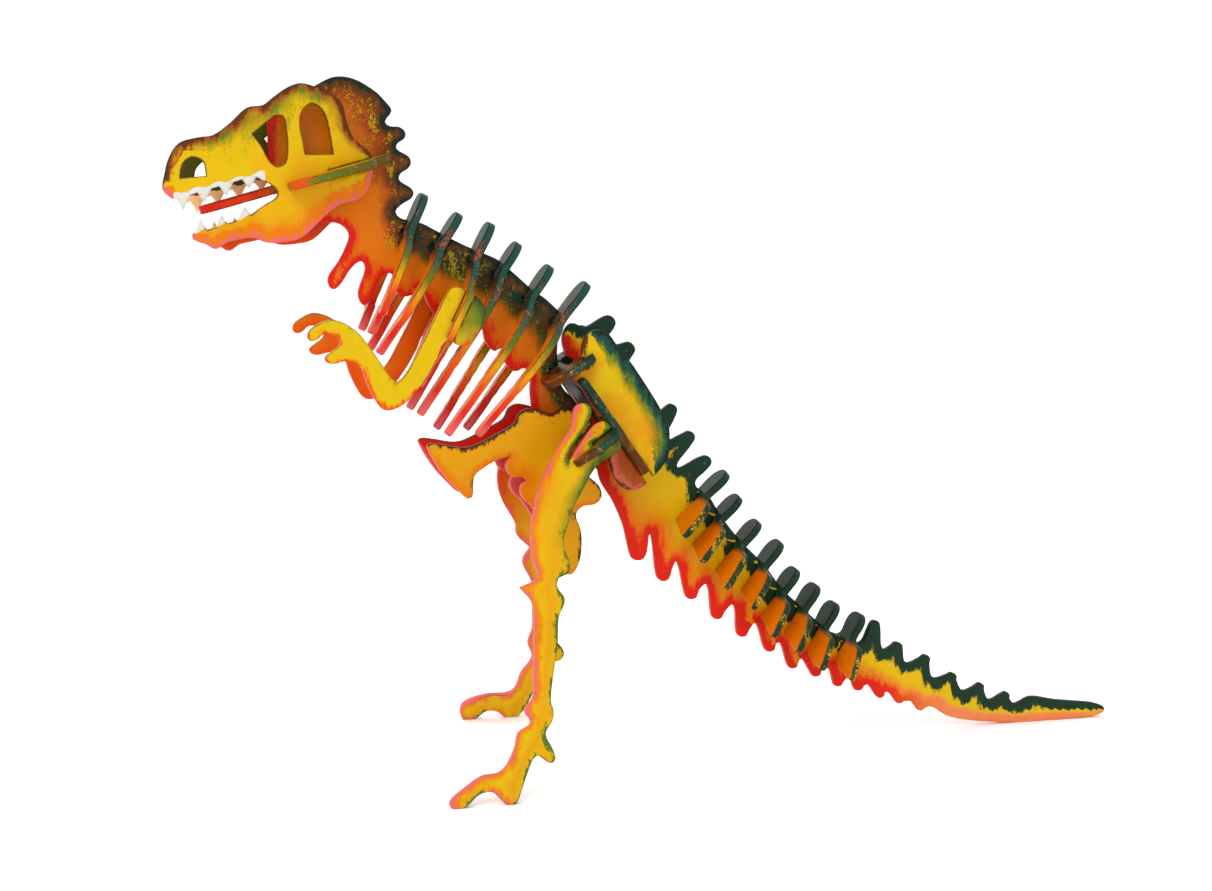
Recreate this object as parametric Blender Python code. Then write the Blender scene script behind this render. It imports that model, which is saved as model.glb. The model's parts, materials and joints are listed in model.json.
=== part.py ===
"""Slot-together plywood T-rex skeleton puzzle, standing on both feet and its tail.

Every piece is one flat plate of 3 mm plywood.  Outlines are written in millimetres
and the finished meshes are in metres, +Z up, head towards -X, tail towards +X.
The flat head, body and tail plates stand in the plane Y = 0; left is -Y, right is +Y.
Plates cross each other in half-depth slots, cut with a little clearance.
"""
import math

import bpy
from mathutils import Matrix, Vector

MM = 0.001
THICK = 3.0             # plywood thickness
CLEAR = 0.3             # clearance on each face of a slot and at its bottom
CURVE_STEP = 1.6        # longest chord on a curved stretch
FLATNESS = 0.03         # points closer than this to a straight chord are dropped

SKULL_Y = 9.0           # side plates, distance of their middle from the centre plane
SKULL_OFFSET = (6.4, -1.2)      # the right skull plate sits further back and a little lower
ARM_Y = 19.5
ILIUM_Y = 12.0
PUBIS_Y = 8.5
FOOT_Y = 58.0           # legs lean outwards: this far out at the floor
LEG_SPLAY = math.radians(14.0)

TONGUE_MIDDLE = (-165.0, 212.4)
TONGUE_ANGLE = math.radians(16.5)
SACRUM_MIDDLE = (-48.0, 148.5)
SACRUM_ANGLE = math.radians(32.0)
SHELF_MIDDLE = (-29.0, 129.5)
SHELF_ANGLE = math.radians(126.4)
HIP_MIDDLE = (-39.8, 123.3)
HIP_ANGLE = math.radians(33.8)

# Ribs, front to rear: tip of the spine, lean of the plate, length, height of the lobe.
RIBS = (
    ((-98.4, 215.0), 67.0, 55.0, 12.0),
    ((-85.2, 208.0), 58.0, 60.0, 10.5),
    ((-73.1, 204.6), 64.0, 66.0, 11.0),
    ((-62.7, 197.3), 58.0, 74.0, 10.5),
    ((-50.2, 188.8), 56.2, 74.5, 11.5),
    ((-35.7, 182.4), 51.5, 71.5, 14.5),
)
ARM_RIB = 3             # the arms hang on the third rib
ARM_LAP = -39.6         # height on that rib where arm and rib meet

# Tail vertebra plates: tip of the spine, lean of the plate.
VERTEBRAE = (
    ((22.0, 108.6), 42.0),
    ((27.4, 99.0), 45.0),
    ((35.6, 88.8), 48.0),
    ((45.1, 80.4), 50.5),
    ((52.2, 69.2), 53.5),
    ((61.0, 62.4), 56.0),
    ((69.4, 54.7), 59.0),
    ((80.5, 49.6), 62.0),
)

YELLOW = (0.78, 0.52, 0.02, 1.0)
ORANGE = (0.80, 0.25, 0.02, 1.0)
RED = (0.72, 0.06, 0.02, 1.0)
GREEN = (0.03, 0.16, 0.08, 1.0)
OLIVE = (0.30, 0.32, 0.04, 1.0)

SHARP = 1               # third item of an outline point that stays a corner


# ---------------------------------------------------------------- outlines

SKULL = [
    (-189.6, 212.2, SHARP),
    (-192.9, 215.3), (-192.3, 220.5), (-190.7, 226.4), (-187.2, 231.6), (-180.7, 233.7),
    (-175.5, 234.6), (-169.5, 238.9), (-163.5, 244.4), (-158.0, 245.4), (-154.8, 247.9),
    (-149.2, 251.9), (-144.6, 253.4), (-139.3, 252.2), (-135.1, 250.6), (-130.4, 247.2),
    (-128.3, 239.8), (-126.2, 234.9), (-122.9, 231.8), (-119.4, 228.3), (-120.1, 218.4),
    (-123.7, 213.3), (-130.5, 211.1), (-135.2, 207.9), (-138.8, 204.3), (-144.9, 198.9),
    (-151.0, 197.4), (-157.0, 197.2), (-161.9, 198.9), (-167.7, 198.0), (-171.2, 197.1),
    (-174.8, 194.8), (-178.0, 196.3), (-182.8, 198.3), (-182.6, 200.6, SHARP),
    (-181.8, 201.1, SHARP), (-180.0, 205.2, SHARP), (-178.0, 201.6, SHARP),
    (-174.7, 202.3, SHARP), (-172.7, 206.8, SHARP), (-170.7, 203.8, SHARP),
    (-166.7, 205.2, SHARP), (-164.6, 209.7, SHARP), (-162.5, 206.9, SHARP),
    (-157.6, 210.5), (-153.6, 213.0), (-153.0, 215.2), (-155.6, 217.8),
    (-160.4, 220.3, SHARP), (-163.0, 216.4, SHARP), (-165.4, 219.4, SHARP),
    (-168.5, 218.4, SHARP), (-171.0, 213.6, SHARP), (-173.4, 216.9, SHARP),
    (-176.2, 216.0, SHARP), (-178.6, 211.3, SHARP), (-181.0, 214.6, SHARP),
    (-183.6, 213.6, SHARP), (-186.0, 208.5, SHARP), (-188.3, 212.4, SHARP),
]
NOSTRIL = [
    (-187.0, 219.4, SHARP), (-186.3, 224.0), (-182.8, 226.9), (-178.9, 225.2),
    (-177.9, 220.4, SHARP),
]
EYE_SOCKET = [
    (-161.9, 235.3, SHARP), (-154.2, 241.7, SHARP), (-151.2, 241.8), (-150.0, 239.0),
    (-149.8, 226.4), (-152.9, 223.9), (-155.9, 225.9), (-158.4, 230.6),
]
TEMPLE = [
    (-145.0, 241.6), (-141.8, 246.2), (-138.6, 245.6), (-135.8, 241.8),
    (-133.2, 228.7, SHARP), (-143.3, 228.5, SHARP),
]

BODY = [
    (-155.2, 221.5, SHARP), (-155.2, 240.5, SHARP), (-150.0, 246.8), (-143.5, 250.2),
    (-137.8, 253.4), (-131.4, 256.4), (-124.5, 255.9), (-116.8, 251.8), (-112.8, 248.0),
    (-110.6, 244.8), (-113.0, 240.9), (-111.2, 239.3), (-107.8, 239.1), (-105.6, 237.4),
    (-105.8, 235.0), (-108.2, 233.4), (-108.9, 231.5), (-107.0, 230.0), (-104.3, 228.5),
    (-103.4, 226.2), (-104.5, 224.2), (-107.2, 222.4), (-107.9, 220.2), (-106.0, 218.6),
    (-103.5, 217.2), (-102.4, 215.1), (-103.6, 213.1), (-106.6, 211.3), (-109.1, 208.5),
    (-107.4, 206.2), (-103.6, 205.3), (-99.1, 204.2), (-93.8, 201.5), (-86.7, 197.9),
    (-80.2, 195.0), (-74.5, 192.8), (-69.9, 190.6), (-64.9, 186.5), (-57.5, 180.1),
    (-52.0, 176.4), (-46.4, 171.3, SHARP), (-47.0, 163.0), (-47.4, 156.0), (-46.8, 151.0),
    (-46.6, 146.5), (-44.6, 142.2), (-41.3, 139.0), (-38.9, 135.5), (-36.4, 131.5),
    (-36.4, 127.0), (-40.0, 120.5), (-46.0, 115.5), (-52.2, 117.5), (-54.6, 126.0),
    (-56.6, 134.0), (-57.6, 141.0), (-57.6, 147.0), (-59.8, 150.4), (-63.8, 149.3),
    (-67.6, 153.0), (-68.8, 158.2), (-71.5, 156.9), (-75.0, 160.5), (-76.5, 166.0),
    (-78.0, 165.0), (-82.0, 163.5), (-85.5, 168.0), (-87.5, 173.0), (-90.0, 171.3),
    (-94.0, 170.8), (-97.0, 175.0), (-99.5, 179.6), (-103.0, 178.0), (-107.0, 177.6),
    (-109.4, 181.0), (-110.2, 185.6), (-113.6, 185.3),
    (-116.5, 180.9), (-118.8, 175.8), (-121.0, 174.3), (-122.8, 178.7), (-120.2, 187.5),
    (-121.7, 190.4), (-125.7, 187.5), (-129.4, 182.0), (-132.4, 180.2), (-133.8, 184.2),
    (-130.1, 190.0), (-127.6, 194.8), (-126.1, 199.5), (-127.5, 202.4), (-130.8, 204.2),
    (-134.4, 204.2), (-139.5, 205.4), (-144.0, 204.5), (-149.0, 206.0), (-151.6, 211.0),
    (-152.4, 217.6),
]

ARM = [
    (-92.3, 181.7), (-89.4, 181.9), (-87.2, 180.6), (-84.5, 179.4), (-81.2, 176.9),
    (-80.1, 173.7), (-80.6, 168.9), (-82.8, 164.7), (-86.0, 161.0), (-89.3, 160.8),
    (-91.2, 161.8), (-90.7, 164.6, SHARP), (-95.3, 161.3), (-97.4, 156.3), (-101.7, 148.9),
    (-106.5, 142.6), (-111.4, 138.7), (-116.7, 137.7), (-119.9, 141.2), (-123.0, 147.6),
    (-124.6, 152.4), (-127.3, 155.1), (-131.5, 155.4), (-134.6, 154.6), (-137.2, 155.0),
    (-138.0, 156.7), (-135.1, 159.3), (-133.0, 160.9), (-132.7, 163.0), (-135.1, 165.1),
    (-138.2, 165.5), (-140.8, 163.3), (-143.2, 162.8), (-144.2, 164.4), (-143.2, 166.8),
    (-140.3, 168.8), (-137.4, 170.1), (-134.0, 170.0), (-129.9, 168.4), (-125.6, 165.0),
    (-121.5, 159.8), (-117.2, 153.4), (-114.0, 149.1), (-111.9, 147.7), (-108.1, 151.7),
    (-104.4, 158.6), (-100.6, 165.9), (-97.4, 172.8), (-94.7, 178.0),
]

ILIUM = [
    (-39.3, 163.6), (-35.4, 165.5), (-31.5, 164.7), (-26.3, 158.3), (-21.9, 153.3),
    (-16.2, 145.3), (-11.2, 137.8), (-8.3, 132.4), (-6.4, 128.7), (-5.9, 123.4),
    (-6.2, 118.0), (-8.9, 113.1), (-13.0, 109.0), (-17.0, 105.7), (-20.6, 104.6),
    (-24.2, 105.6), (-27.2, 109.1), (-29.9, 116.5), (-32.6, 127.0), (-34.6, 133.6),
    (-37.8, 138.9), (-40.7, 143.3), (-44.2, 147.2), (-44.2, 151.2), (-41.5, 154.0),
    (-40.8, 159.5),
]

PUBIS = [
    (-98.9, 122.4), (-97.5, 123.6), (-93.0, 123.2), (-85.5, 121.9), (-81.0, 122.6),
    (-71.5, 127.2), (-65.8, 130.5), (-63.9, 134.4), (-60.4, 136.0), (-55.8, 135.2),
    (-51.5, 133.8), (-47.7, 135.6), (-44.2, 135.0), (-40.5, 132.6), (-36.4, 131.5),
    (-35.4, 127.5), (-38.5, 120.0), (-40.5, 113.0), (-36.6, 109.6), (-32.6, 106.0),
    (-31.6, 102.0), (-34.0, 99.2), (-39.0, 98.4), (-41.6, 95.4), (-39.8, 90.0),
    (-39.2, 83.8), (-40.2, 76.8), (-43.2, 72.4), (-46.0, 73.4), (-48.5, 78.0),
    (-51.0, 85.0), (-54.5, 92.5), (-59.3, 99.4), (-62.0, 101.8), (-63.3, 104.8),
    (-62.7, 107.5), (-60.9, 108.9, SHARP), (-63.0, 110.6), (-65.7, 110.2), (-68.3, 112.4),
    (-68.9, 115.3), (-67.2, 118.4, SHARP), (-72.5, 116.9), (-77.9, 113.9), (-80.9, 111.3),
    (-81.4, 108.0), (-81.8, 103.4), (-83.6, 102.8), (-85.6, 104.4), (-93.0, 112.4),
]

# Top of both legs: two prongs, the middle finger and the lug under the hip slot.
LEG_TOP = [
    (-31.2, 130.6), (-33.6, 134.8), (-36.4, 136.6), (-40.2, 134.8), (-45.6, 128.2),
    (-49.6, 122.6), (-50.8, 121.6), (-50.4, 124.4), (-47.3, 129.0), (-43.2, 134.5),
    (-40.8, 138.6), (-40.8, 142.2), (-43.6, 143.6), (-46.6, 142.2), (-47.6, 139.0),
    (-48.6, 134.5), (-52.1, 129.7),
]
LEFT_LEG = LEG_TOP + [
    (-55.8, 124.3), (-58.3, 119.9), (-61.3, 113.4), (-63.5, 106.9), (-65.4, 98.9),
    (-65.8, 92.0), (-65.4, 85.8), (-63.8, 80.6), (-70.9, 76.8, SHARP), (-66.4, 70.8),
    (-66.4, 60.2), (-67.4, 46.9), (-67.9, 37.7), (-71.5, 32.5), (-69.2, 28.4),
    (-74.1, 25.0), (-75.9, 19.3), (-80.9, 12.0), (-88.4, 10.6), (-94.8, 6.8),
    (-100.1, 2.6), (-99.6, 0.2), (-97.2, -0.6), (-94.2, 0.4), (-89.5, 4.1),
    (-84.7, 4.6), (-80.9, 1.2), (-78.4, -0.6), (-75.9, 0.6), (-74.5, 3.3),
    (-71.6, 10.5), (-67.9, 16.4), (-64.4, 14.3), (-62.4, 13.4), (-61.0, 15.1),
    (-61.9, 18.4), (-64.2, 23.9), (-61.6, 28.2), (-60.8, 31.5), (-61.7, 35.5),
    (-60.1, 45.5), (-58.0, 55.8), (-57.1, 65.2), (-54.6, 70.5), (-54.8, 73.0),
    (-56.6, 75.3), (-56.9, 79.0), (-52.5, 81.3), (-52.0, 85.3), (-53.5, 89.4),
    (-53.7, 93.7), (-51.9, 98.4), (-48.8, 106.0), (-46.7, 109.3), (-41.3, 118.0),
    (-38.0, 121.2), (-34.9, 123.0), (-30.5, 125.5), (-29.8, 127.6),
]
RIGHT_LEG = LEG_TOP + [
    (-56.5, 124.0), (-60.0, 118.0), (-62.3, 111.0), (-62.0, 104.0), (-59.5, 97.0),
    (-55.5, 90.5), (-53.5, 86.7), (-53.0, 82.7), (-46.8, 76.6, SHARP), (-49.6, 70.5),
    (-45.2, 61.0), (-44.0, 50.0), (-43.4, 40.0), (-44.8, 33.6), (-42.6, 27.0),
    (-46.7, 19.9), (-50.0, 11.8), (-61.3, 10.7), (-70.0, 7.8), (-71.4, 3.4),
    (-70.0, 0.2), (-67.6, -0.6), (-64.6, 0.6), (-60.6, 3.6), (-56.2, 3.2),
    (-53.0, 0.6), (-50.2, -0.6), (-47.4, 0.2), (-44.8, 3.0), (-41.5, 10.0),
    (-38.6, 19.5), (-34.5, 24.5), (-30.8, 25.4), (-29.2, 28.6), (-31.8, 32.5),
    (-35.0, 34.5), (-34.5, 45.0), (-35.0, 55.0), (-34.0, 64.0), (-31.5, 69.5),
    (-32.2, 73.0), (-34.2, 76.0), (-33.8, 80.0), (-30.2, 82.5), (-30.4, 88.0),
    (-31.0, 94.0), (-30.0, 100.0), (-28.5, 106.0), (-26.8, 112.0), (-26.6, 118.0),
    (-29.0, 122.5), (-30.2, 125.5), (-29.8, 127.6),
]

# The tail plate: fingers between valleys along its back and its underside.
BACK_TIPS = [
    (-25.2, 169.1), (-17.1, 158.7), (-0.1, 135.4), (7.8, 124.3), (15.0, 114.3),
    (87.1, 46.4), (97.6, 36.8), (110.7, 30.7), (123.0, 22.5), (135.6, 17.6), (147.7, 13.0),
]
BACK_VALLEYS = [
    (-36.5, 165.8), (-29.8, 158.5), (-20.5, 147.5), (-9.5, 131.5), (-3.0, 122.5),
    (1.4, 111.3), (8.8, 104.5), (80.5, 37.6), (90.6, 34.5), (101.0, 28.3),
    (113.3, 21.4), (127.1, 15.1), (139.1, 10.6), (151.2, 8.1),
]
SADDLE_LINE = [
    (14.3, 99.8), (20.0, 91.0), (28.6, 80.8), (38.6, 71.0), (46.2, 61.2), (55.3, 53.0),
    (64.2, 45.2), (73.4, 39.4),
]
BELLY_TIPS = [
    (-14.1, 75.1), (-3.3, 66.4), (8.3, 58.7), (18.9, 50.2), (29.6, 42.6), (42.1, 36.0),
    (52.1, 28.6), (62.1, 24.7), (71.4, 20.0), (80.6, 17.8), (90.9, 14.3), (98.5, 11.4),
    (108.0, 7.8),
]
BELLY_VALLEYS = [
    (-18.5, 82.8), (-9.0, 85.2), (1.9, 74.1), (14.5, 64.4), (25.9, 55.7), (35.4, 47.8),
    (46.2, 39.1), (55.4, 32.5), (67.2, 27.7), (76.1, 23.5), (84.5, 20.1), (93.9, 16.2),
    (103.8, 11.9), (112.9, 9.2),
]


# ---------------------------------------------------------------- outline helpers

def finger(before, tip, after, half_width):
    """Five points that round off a finger between two valleys."""
    tip = Vector(tip)
    middle = (Vector(before) + Vector(after)) / 2.0
    along = tip - middle
    length = along.length
    along.normalize()
    across = Vector((-along.y, along.x))
    if across.dot(Vector(before) - middle) < 0.0:
        across = -across
    depth = min(0.36 * length, 1.35 * half_width)
    shoulder = tip - along * depth
    corner = tip - along * 0.22 * depth
    return [
        tuple(shoulder + across * half_width),
        tuple(corner + across * 0.66 * half_width),
        tuple(tip),
        tuple(corner - across * 0.66 * half_width),
        tuple(shoulder - across * half_width),
    ]


def tail_outline():
    """Back from head end to tip, then the underside back towards the head."""
    points = [(-41.8, 167.2)]
    for index in range(2):
        points.append(BACK_VALLEYS[index])
        points += finger(BACK_VALLEYS[index], BACK_TIPS[index], BACK_VALLEYS[index + 1], 3.3)
    points.append(BACK_VALLEYS[2])
    for index in range(2, 5):
        before = BACK_VALLEYS[index + 1]
        after = BACK_VALLEYS[index + 2]
        points.append(before)
        points += finger(before, BACK_TIPS[index], after, 2.9)
    points.append(BACK_VALLEYS[6])
    points += SADDLE_LINE
    for index in range(5, 11):
        before = BACK_VALLEYS[index + 2]
        after = BACK_VALLEYS[index + 3]
        width = 2.7 - 0.16 * (index - 5)
        points.append(before)
        points += finger(before, BACK_TIPS[index], after, width)
    points.append(BACK_VALLEYS[13])
    points += [(158.5, 10.6), (170.0, 8.6), (180.0, 7.3), (188.7, 5.9), (193.1, 3.4)]
    points += [(190.0, 1.0), (180.0, 0.3), (170.0, 0.0, SHARP), (150.0, 0.0, SHARP)]
    points += [(135.0, 1.7), (121.0, 4.6)]
    for index in range(12, -1, -1):
        before = BELLY_VALLEYS[index + 1]
        after = BELLY_VALLEYS[index]
        width = 1.6 + 0.155 * (12 - index)
        points.append(before)
        points += finger(before, BELLY_TIPS[index], after, width)
    points += [(-18.8, 84.0), (-20.4, 89.9), (-24.6, 99.0), (-29.5, 106.9), (-31.5, 118.0)]
    points += [(-33.4, 128.0), (-36.2, 136.0), (-37.2, 142.0), (-37.4, 148.0)]
    points += [(-39.4, 152.8), (-43.0, 154.6), (-45.0, 158.5), (-44.9, 163.5)]
    return points


def mirrored(half):
    """Close a half outline given from the top middle down to the bottom middle."""
    other = []
    for point in reversed(half):
        if point[0] > 0.01:
            other.append((-point[0],) + tuple(point[1:]))
    return list(half) + other


def rib_outline(length, lobe, lug):
    """Wishbone seen from the front: a rounded spine above two curved arms."""
    neck = -lobe
    outer = [
        (0.0, 0.0), (3.4, -0.7), (5.4, -3.2), (5.9, -7.0), (5.5, neck), (6.8, neck - 4.0),
        (10.8, neck - 7.0), (14.4, neck - 11.0),
    ]
    if lug:
        outer += [
            (17.0, neck - 14.5), (22.2, neck - 16.6, SHARP), (23.0, neck - 18.0, SHARP),
            (23.0, neck - 33.6, SHARP), (22.0, neck - 35.0, SHARP), (16.8, neck - 36.2),
        ]
    else:
        outer += [
            (16.6, neck - 16.0), (17.3, neck - 22.5), (17.0, neck - 29.0),
            (16.0, neck - 35.0),
        ]
    outer += [
        (14.2, -0.80 * length), (12.3, -0.93 * length), (11.6, 0.6 - length),
        (10.2, -length), (8.9, 1.0 - length),
    ]
    inner = [
        (9.3, -0.90 * length), (10.6, -0.80 * length), (12.0, neck - 33.0),
        (12.6, neck - 26.0), (12.4, neck - 20.5), (10.4, neck - 15.2), (6.6, neck - 11.4),
        (2.6, neck - 9.6), (0.0, neck - 9.2),
    ]
    return mirrored(outer + inner)


def vertebra_outline(scale):
    """Tail plate seen from the front: a spine, a waist and two broad drooping wings."""
    half = [
        (0.0, 0.0), (3.4, -0.8), (5.6, -3.4), (6.0, -7.0), (5.5, -10.5), (5.6, -13.0),
        (8.2, -14.8), (12.4, -15.4), (15.2, -17.2), (17.2, -21.0), (19.2, -26.0),
        (20.6, -30.4), (19.6, -32.0), (16.0, -31.4), (10.0, -29.6), (4.0, -28.0),
        (0.0, -27.2),
    ]
    return mirrored([(x, z * scale) for x, z in half])


TONGUE_HALF = [
    (0.0, 56.0), (6.0, 55.6), (10.5, 52.0), (12.2, 48.8), (18.0, 48.0), (22.0, 45.5),
    (23.2, 41.0), (23.0, 24.0), (21.2, 18.4), (17.6, 16.4), (12.4, 16.2, SHARP),
    (6.6, 16.2, SHARP), (5.6, 12.0), (4.4, 6.0), (4.4, -8.0), (3.6, -12.6), (0.0, -15.2),
]
SACRUM_HALF = [
    (0.0, 4.6), (8.0, 4.6, SHARP), (8.4, 13.6, SHARP), (14.6, 13.6), (17.2, 11.4),
    (17.6, 4.0), (17.0, -2.4), (14.0, -6.0), (9.0, -6.6), (0.0, -6.6),
]
SHELF_HALF = [
    (0.0, 22.0), (16.4, 22.0), (18.6, 20.2), (19.0, 16.0), (19.0, 0.0), (18.4, -5.0),
    (16.6, -8.0), (16.4, -12.0), (16.2, -19.6), (14.0, -22.8), (10.0, -23.5), (0.0, -23.5),
]
HIP_HALF = [
    (0.0, 5.0), (19.0, 5.0), (22.5, 6.6), (23.6, 9.6), (26.0, 10.6), (31.0, 10.4),
    (33.6, 8.0), (34.0, 4.0), (34.0, -6.0), (32.4, -9.4), (29.0, -10.5), (23.6, -10.4),
    (20.6, -9.0), (18.0, -8.2), (0.0, -8.2),
]


def smooth_closed(outline):
    """Closed curve through the points, straight into and out of sharp corners."""
    points = [Vector((point[0], point[1])) for point in outline]
    sharp = [len(point) > 2 for point in outline]
    count = len(points)
    curve = []
    for index in range(count):
        start = points[index]
        end = points[(index + 1) % count]
        before = start if sharp[index] else points[index - 1]
        after = end if sharp[(index + 1) % count] else points[(index + 2) % count]
        pieces = max(1, math.ceil((end - start).length / CURVE_STEP))
        if before == start and after == end:
            pieces = 1
        reach = (end - start).length
        lead_in = (end - before) * min(1.0, reach / max((end - before).length, 1e-6))
        lead_out = (after - start) * min(1.0, reach / max((after - start).length, 1e-6))
        for step in range(pieces):
            t = step / pieces
            curve.append(
                start * (2 * t ** 3 - 3 * t ** 2 + 1)
                + lead_in * (t ** 3 - 2 * t ** 2 + t)
                + end * (3 * t ** 2 - 2 * t ** 3)
                + lead_out * (t ** 3 - t ** 2)
            )
    return drop_straight_points(curve)


def drop_straight_points(curve):
    """Remove points that lie on the straight line between their neighbours."""
    kept = []
    count = len(curve)
    for index in range(count):
        before = kept[-1] if kept else curve[-1]
        after = curve[(index + 1) % count]
        chord = after - before
        offset = curve[index] - before
        distance = abs(chord.x * offset.y - chord.y * offset.x) / max(chord.length, 1e-6)
        if distance > FLATNESS or chord.length > 6.0 * CURVE_STEP:
            kept.append(curve[index])
    return kept


# ---------------------------------------------------------------- frames

def side_frame(y):
    """Plate parallel to the centre plane; its own X is forward-back, its Y is up."""
    frame = Matrix(((1, 0, 0, 0), (0, 0, -1, y), (0, 1, 0, 0), (0, 0, 0, 1)))
    return frame


def cross_frame(middle, angle):
    """Plate across the model; its own X is the row's Y, its Y climbs at the angle."""
    up = Vector((math.cos(angle), 0.0, math.sin(angle)))
    across = Vector((0.0, 1.0, 0.0))
    normal = across.cross(up)
    return frame_from(across, up, normal, Vector((middle[0], 0.0, middle[1])))


def leg_frame(side):
    """Leg plate leaning outwards; side is -1 for the left leg, +1 for the right."""
    up = Vector((0.0, -side * math.sin(LEG_SPLAY), math.cos(LEG_SPLAY)))
    forward = Vector((1.0, 0.0, 0.0))
    normal = forward.cross(up)
    return frame_from(forward, up, normal, Vector((0.0, side * FOOT_Y, 0.0)))


def frame_from(x_axis, y_axis, z_axis, origin):
    frame = Matrix.Identity(4)
    for row in range(3):
        frame[row][0] = x_axis[row]
        frame[row][1] = y_axis[row]
        frame[row][2] = z_axis[row]
        frame[row][3] = origin[row]
    return frame


def in_metres(frame):
    scaled = frame.copy()
    scaled.translation = frame.translation * MM
    return scaled


# ---------------------------------------------------------------- solids

def prism_mesh(name, loops, half_depth):
    """Closed prisms with flat ends, one for each outline loop."""
    vertices = []
    faces = []
    for loop in loops:
        base = len(vertices)
        count = len(loop)
        area = sum(
            loop[i - 1].x * loop[i].y - loop[i].x * loop[i - 1].y for i in range(count)
        )
        ordered = loop if area > 0.0 else list(reversed(loop))
        for depth in (-half_depth, half_depth):
            for point in ordered:
                vertices.append((point.x * MM, point.y * MM, depth * MM))
        faces.append([base + i for i in reversed(range(count))])
        faces.append([base + count + i for i in range(count)])
        for i in range(count):
            j = (i + 1) % count
            faces.append([base + i, base + j, base + count + j, base + count + i])
    mesh = bpy.data.meshes.new(name)
    mesh.from_pydata(vertices, [], faces)
    mesh.validate()
    return mesh


def paint(name, colour):
    material = bpy.data.materials.new(name)
    material.use_nodes = True
    shader = material.node_tree.nodes["Principled BSDF"]
    shader.inputs["Base Color"].default_value = colour
    shader.inputs["Roughness"].default_value = 0.45
    shader.inputs["Metallic"].default_value = 0.0
    material.diffuse_color = colour
    return material


PLATES = {}


def plate(name, outline, frame, colour):
    """Add one plywood plate as its own named node."""
    mesh = prism_mesh(name, [smooth_closed(outline)], THICK / 2.0)
    mesh.materials.append(paint(name + "_paint", colour))
    node = bpy.data.objects.new(name, mesh)
    bpy.context.scene.collection.objects.link(node)
    node.matrix_world = in_metres(frame)
    PLATES[name] = {"node": node, "frame": frame, "cutters": 0}
    return node


def cut(name, mesh, frame):
    """Subtract a hidden cutter from a plate."""
    entry = PLATES[name]
    entry["cutters"] += 1
    cutter = bpy.data.objects.new("cutter_%s_%d" % (name, entry["cutters"]), mesh)
    bpy.context.scene.collection.objects.link(cutter)
    cutter.matrix_world = in_metres(frame)
    cutter.hide_render = True
    cutter.display_type = "WIRE"
    boolean = entry["node"].modifiers.new("cut_%d" % entry["cutters"], "BOOLEAN")
    boolean.operation = "DIFFERENCE"
    boolean.solver = "EXACT"
    boolean.object = cutter


def cut_holes(name, outlines):
    loops = [smooth_closed(outline) for outline in outlines]
    cut(name, prism_mesh("holes", loops, THICK), PLATES[name]["frame"])


def slot_cut(name, through, point, direction, start, end):
    """Slot in one plate for the plate `through`, between two distances along a line."""
    own_normal = PLATES[name]["frame"].to_3x3() @ Vector((0, 0, 1))
    other_normal = PLATES[through]["frame"].to_3x3() @ Vector((0, 0, 1))
    lean = abs(own_normal.dot(other_normal)) * THICK
    half_width = THICK / 2.0 + CLEAR + lean / 2.0
    half_depth = THICK + 1.0
    loop = [
        Vector((start, -half_width)), Vector((end, -half_width)),
        Vector((end, half_width)), Vector((start, half_width)),
    ]
    frame = frame_from(direction, other_normal, direction.cross(other_normal), point)
    cut(name, prism_mesh("slot", [loop], half_depth), frame)


def cross_lap(lower, upper, point, direction, reach_up, reach_down):
    """Half-depth joint: `lower` is slotted upwards and `upper` downwards from a point."""
    slot_cut(lower, upper, point, direction, -CLEAR / 2.0, reach_up)
    slot_cut(upper, lower, point, direction, -reach_down, CLEAR / 2.0)


def along(frame, height, x=0.0):
    return frame @ Vector((x, height, 0.0))


# ---------------------------------------------------------------- assembly

def build_head_and_body():
    plate("body_plate", BODY, side_frame(0.0), ORANGE)
    plate("tail_plate", tail_outline(), side_frame(0.0), YELLOW)
    tongue_frame = cross_frame(TONGUE_MIDDLE, TONGUE_ANGLE)
    plate("tongue_plate", mirrored(TONGUE_HALF), tongue_frame, RED)
    direction = tongue_frame.to_3x3() @ Vector((0, 1, 0))
    cross_lap("tongue_plate", "body_plate", along(tongue_frame, 26.0), direction, 40.0, 30.0)
    for name, side, offset in (("left_skull", -1, (0.0, 0.0)), ("right_skull", 1, SKULL_OFFSET)):
        shift = Matrix.Translation(Vector((offset[0], 0.0, offset[1])))
        plate(name, SKULL, shift @ side_frame(side * SKULL_Y), YELLOW)
        cut_holes(name, [NOSTRIL, EYE_SOCKET, TEMPLE])
        meeting = along(tongue_frame, 32.0, side * SKULL_Y)
        cross_lap(name, "tongue_plate", meeting, direction, 30.0, 24.0)


def build_ribs():
    for number, (tip, lean, length, lobe) in enumerate(RIBS, start=1):
        name = "rib_%d" % number
        frame = cross_frame(tip, math.radians(lean))
        plate(name, rib_outline(length, lobe, number == ARM_RIB), frame, GREEN)
        direction = frame.to_3x3() @ Vector((0, 1, 0))
        cross_lap("body_plate", name, along(frame, -lobe - 5.0), direction, 20.0, 5.0)


def build_arms():
    rib = "rib_%d" % ARM_RIB
    frame = PLATES[rib]["frame"]
    direction = frame.to_3x3() @ Vector((0, 1, 0))
    for name, side in (("left_arm", -1), ("right_arm", 1)):
        plate(name, ARM, side_frame(side * ARM_Y), YELLOW)
        meeting = along(frame, ARM_LAP, side * ARM_Y)
        cross_lap(name, rib, meeting, direction, 25.0, 8.0)


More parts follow.
